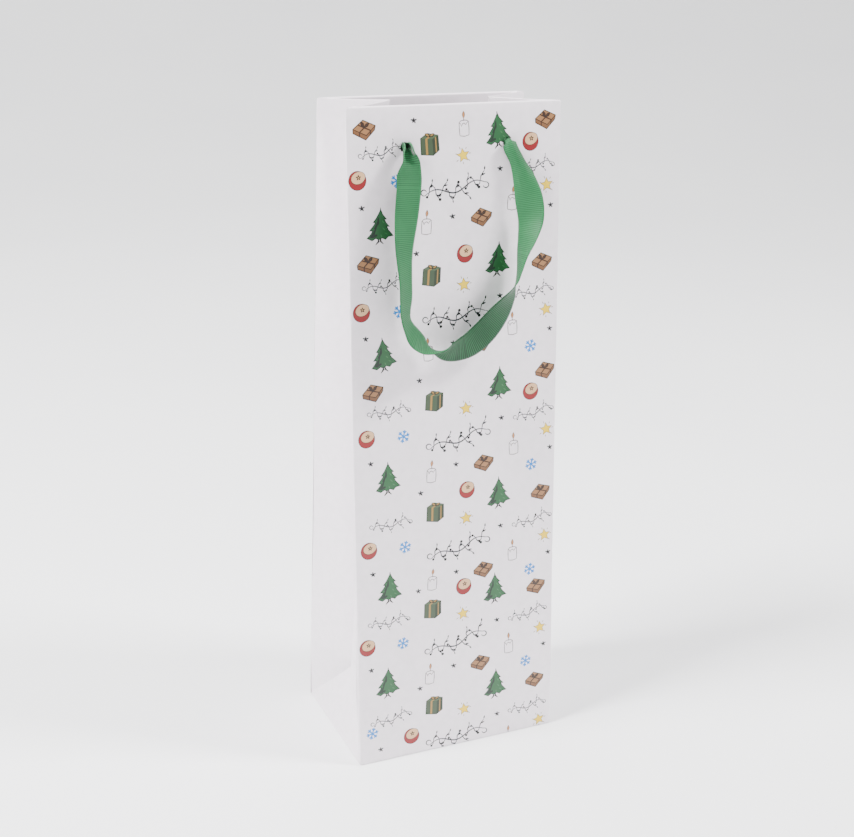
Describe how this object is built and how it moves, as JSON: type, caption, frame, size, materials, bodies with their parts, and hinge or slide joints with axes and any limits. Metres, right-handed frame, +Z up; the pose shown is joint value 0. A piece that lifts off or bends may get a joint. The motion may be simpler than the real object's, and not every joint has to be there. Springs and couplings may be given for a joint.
{
  "type": "wine gift bag",
  "caption": "Tall narrow paper bag for one bottle, with folding side gussets, card-stiffened mouth and base, and ribbon handles at front and back.",
  "frame": {"origin": "centre of the bottom outline, on the surface that the bag stands on", "axes": "+Z up, -Y out of the front panel, +X to the right seen from the front"},
  "size_m": [0.12, 0.0934, 0.3594],
  "materials": {
    "printed_paper": "smooth coated paper with a small repeating winter print",
    "white_paper": "smooth coated white paper",
    "card": "uncoated grey board",
    "ribbon": "ribbed grosgrain ribbon"
  },
  "bodies": {
    "base": {"bottom_front_flap": "white_paper", "bottom_back_flap": "white_paper", "bottom_left_tab": "white_paper", "bottom_right_tab": "white_paper", "base_board": "card"},
    "front_panel": {"front_panel": "printed_paper", "front_hem": "printed_paper", "front_top_board": "card", "front_left_knot": "ribbon", "front_right_knot": "ribbon"},
    "front_handle": {"front_handle_ribbon": "ribbon"},
    "back_panel": {"back_panel": "printed_paper", "back_hem": "printed_paper", "back_top_board": "card", "back_left_knot": "ribbon", "back_right_knot": "ribbon", "seam_flap": "printed_paper"},
    "back_handle": {"back_handle_ribbon": "ribbon"},
    "left_foot": {"left_gusset_foot": "white_paper"},
    "left_front_corner": {"left_front_gusset_lower": "white_paper"},
    "left_front_pleat": {"left_front_gusset_upper": "white_paper", "left_front_gusset_hem": "white_paper"},
    "left_back_corner": {"left_back_gusset_lower": "white_paper"},
    "left_back_pleat": {"left_back_gusset_upper": "white_paper", "left_back_gusset_hem": "white_paper"},
    "right_foot": {"right_gusset_foot": "white_paper"},
    "right_front_corner": {"right_front_gusset_lower": "white_paper"},
    "right_front_pleat": {"right_front_gusset_upper": "white_paper", "right_front_gusset_hem": "white_paper"},
    "right_back_corner": {"right_back_gusset_lower": "white_paper"},
    "right_back_pleat": {"right_back_gusset_upper": "white_paper", "right_back_gusset_hem": "white_paper"}
  },
  "joints": [
    {"name": "mouth_front_lean", "type": "hinge", "parent": "base", "child": "front_panel", "pos_m": [0, -0.0425, 0], "axis": [1, 0, 0], "range_deg": [-0.9, 2.4]},
    {"name": "mouth_back_lean", "type": "hinge", "parent": "base", "child": "back_panel", "pos_m": [0, 0.0425, 0], "axis": [-1, 0, 0], "range_deg": [-0.95, 2.45]},
    {"name": "left_foot_tilt", "type": "hinge", "parent": "base", "child": "left_foot", "pos_m": [-0.06, 0, 0], "axis": [0, -1, 0], "range_deg": [-2.59, 6.82]},
    {"name": "left_front_corner_fold", "type": "hinge", "parent": "front_panel", "child": "left_front_corner", "pos_m": [-0.06, -0.0425, 0], "axis": [0, 0.0593, 0.9982], "range_deg": [-2.59, 6.82]},
    {"name": "left_front_slant_fold", "type": "hinge", "parent": "left_front_corner", "child": "left_front_pleat", "pos_m": [-0.04578, 0, 0.04005], "axis": [-0.0444, -0.066, 0.9968], "range_deg": [-6.29, 16.68]},
    {"name": "left_back_corner_fold", "type": "hinge", "parent": "back_panel", "child": "left_back_corner", "pos_m": [-0.06, 0.0425, 0], "axis": [0, 0.0593, -0.9982], "range_deg": [-2.59, 6.82]},
    {"name": "left_back_slant_fold", "type": "hinge", "parent": "left_back_corner", "child": "left_back_pleat", "pos_m": [-0.04578, 0, 0.04005], "axis": [0.0444, -0.066, -0.9968], "range_deg": [-6.29, 16.68]},
    {"name": "right_foot_tilt", "type": "hinge", "parent": "base", "child": "right_foot", "pos_m": [0.06, 0, 0], "axis": [0, 1, 0], "range_deg": [-2.59, 6.82]},
    {"name": "right_front_corner_fold", "type": "hinge", "parent": "front_panel", "child": "right_front_corner", "pos_m": [0.06, -0.0425, 0], "axis": [0, -0.0593, -0.9982], "range_deg": [-2.59, 6.82]},
    {"name": "right_front_slant_fold", "type": "hinge", "parent": "right_front_corner", "child": "right_front_pleat", "pos_m": [0.04578, 0, 0.04005], "axis": [-0.0444, 0.066, -0.9968], "range_deg": [-6.29, 16.68]},
    {"name": "right_back_corner_fold", "type": "hinge", "parent": "back_panel", "child": "right_back_corner", "pos_m": [0.06, 0.0425, 0], "axis": [0, -0.0593, 0.9982], "range_deg": [-2.59, 6.82]},
    {"name": "right_back_slant_fold", "type": "hinge", "parent": "right_back_corner", "child": "right_back_pleat", "pos_m": [0.04578, 0, 0.04005], "axis": [0.0444, 0.066, 0.9968], "range_deg": [-6.29, 16.68]},
    {"name": "front_handle_swing", "type": "hinge", "parent": "front_panel", "child": "front_handle", "pos_m": [0, -0.02756, 0.33921], "axis": [-1, 0, 0], "range_deg": [0, 160]},
    {"name": "back_handle_swing", "type": "hinge", "parent": "back_panel", "child": "back_handle", "pos_m": [0, 0.02756, 0.33921], "axis": [1, 0, 0], "range_deg": [0, 160]}
  ],
  "couplings": [
    {"joint": "mouth_back_lean", "follows": "mouth_front_lean", "ratio": 1},
    {"joint": "left_foot_tilt", "follows": "mouth_front_lean", "ratio": 2.8211},
    {"joint": "left_front_corner_fold", "follows": "mouth_front_lean", "ratio": 2.8211},
    {"joint": "left_front_slant_fold", "follows": "mouth_front_lean", "ratio": 6.9297},
    {"joint": "left_back_corner_fold", "follows": "mouth_front_lean", "ratio": 2.8211},
    {"joint": "left_back_slant_fold", "follows": "mouth_front_lean", "ratio": 6.9297},
    {"joint": "right_foot_tilt", "follows": "mouth_front_lean", "ratio": 2.8211},
    {"joint": "right_front_corner_fold", "follows": "mouth_front_lean", "ratio": 2.8211},
    {"joint": "right_front_slant_fold", "follows": "mouth_front_lean", "ratio": 6.9297},
    {"joint": "right_back_corner_fold", "follows": "mouth_front_lean", "ratio": 2.8211},
    {"joint": "right_back_slant_fold", "follows": "mouth_front_lean", "ratio": 6.9297}
  ]
}
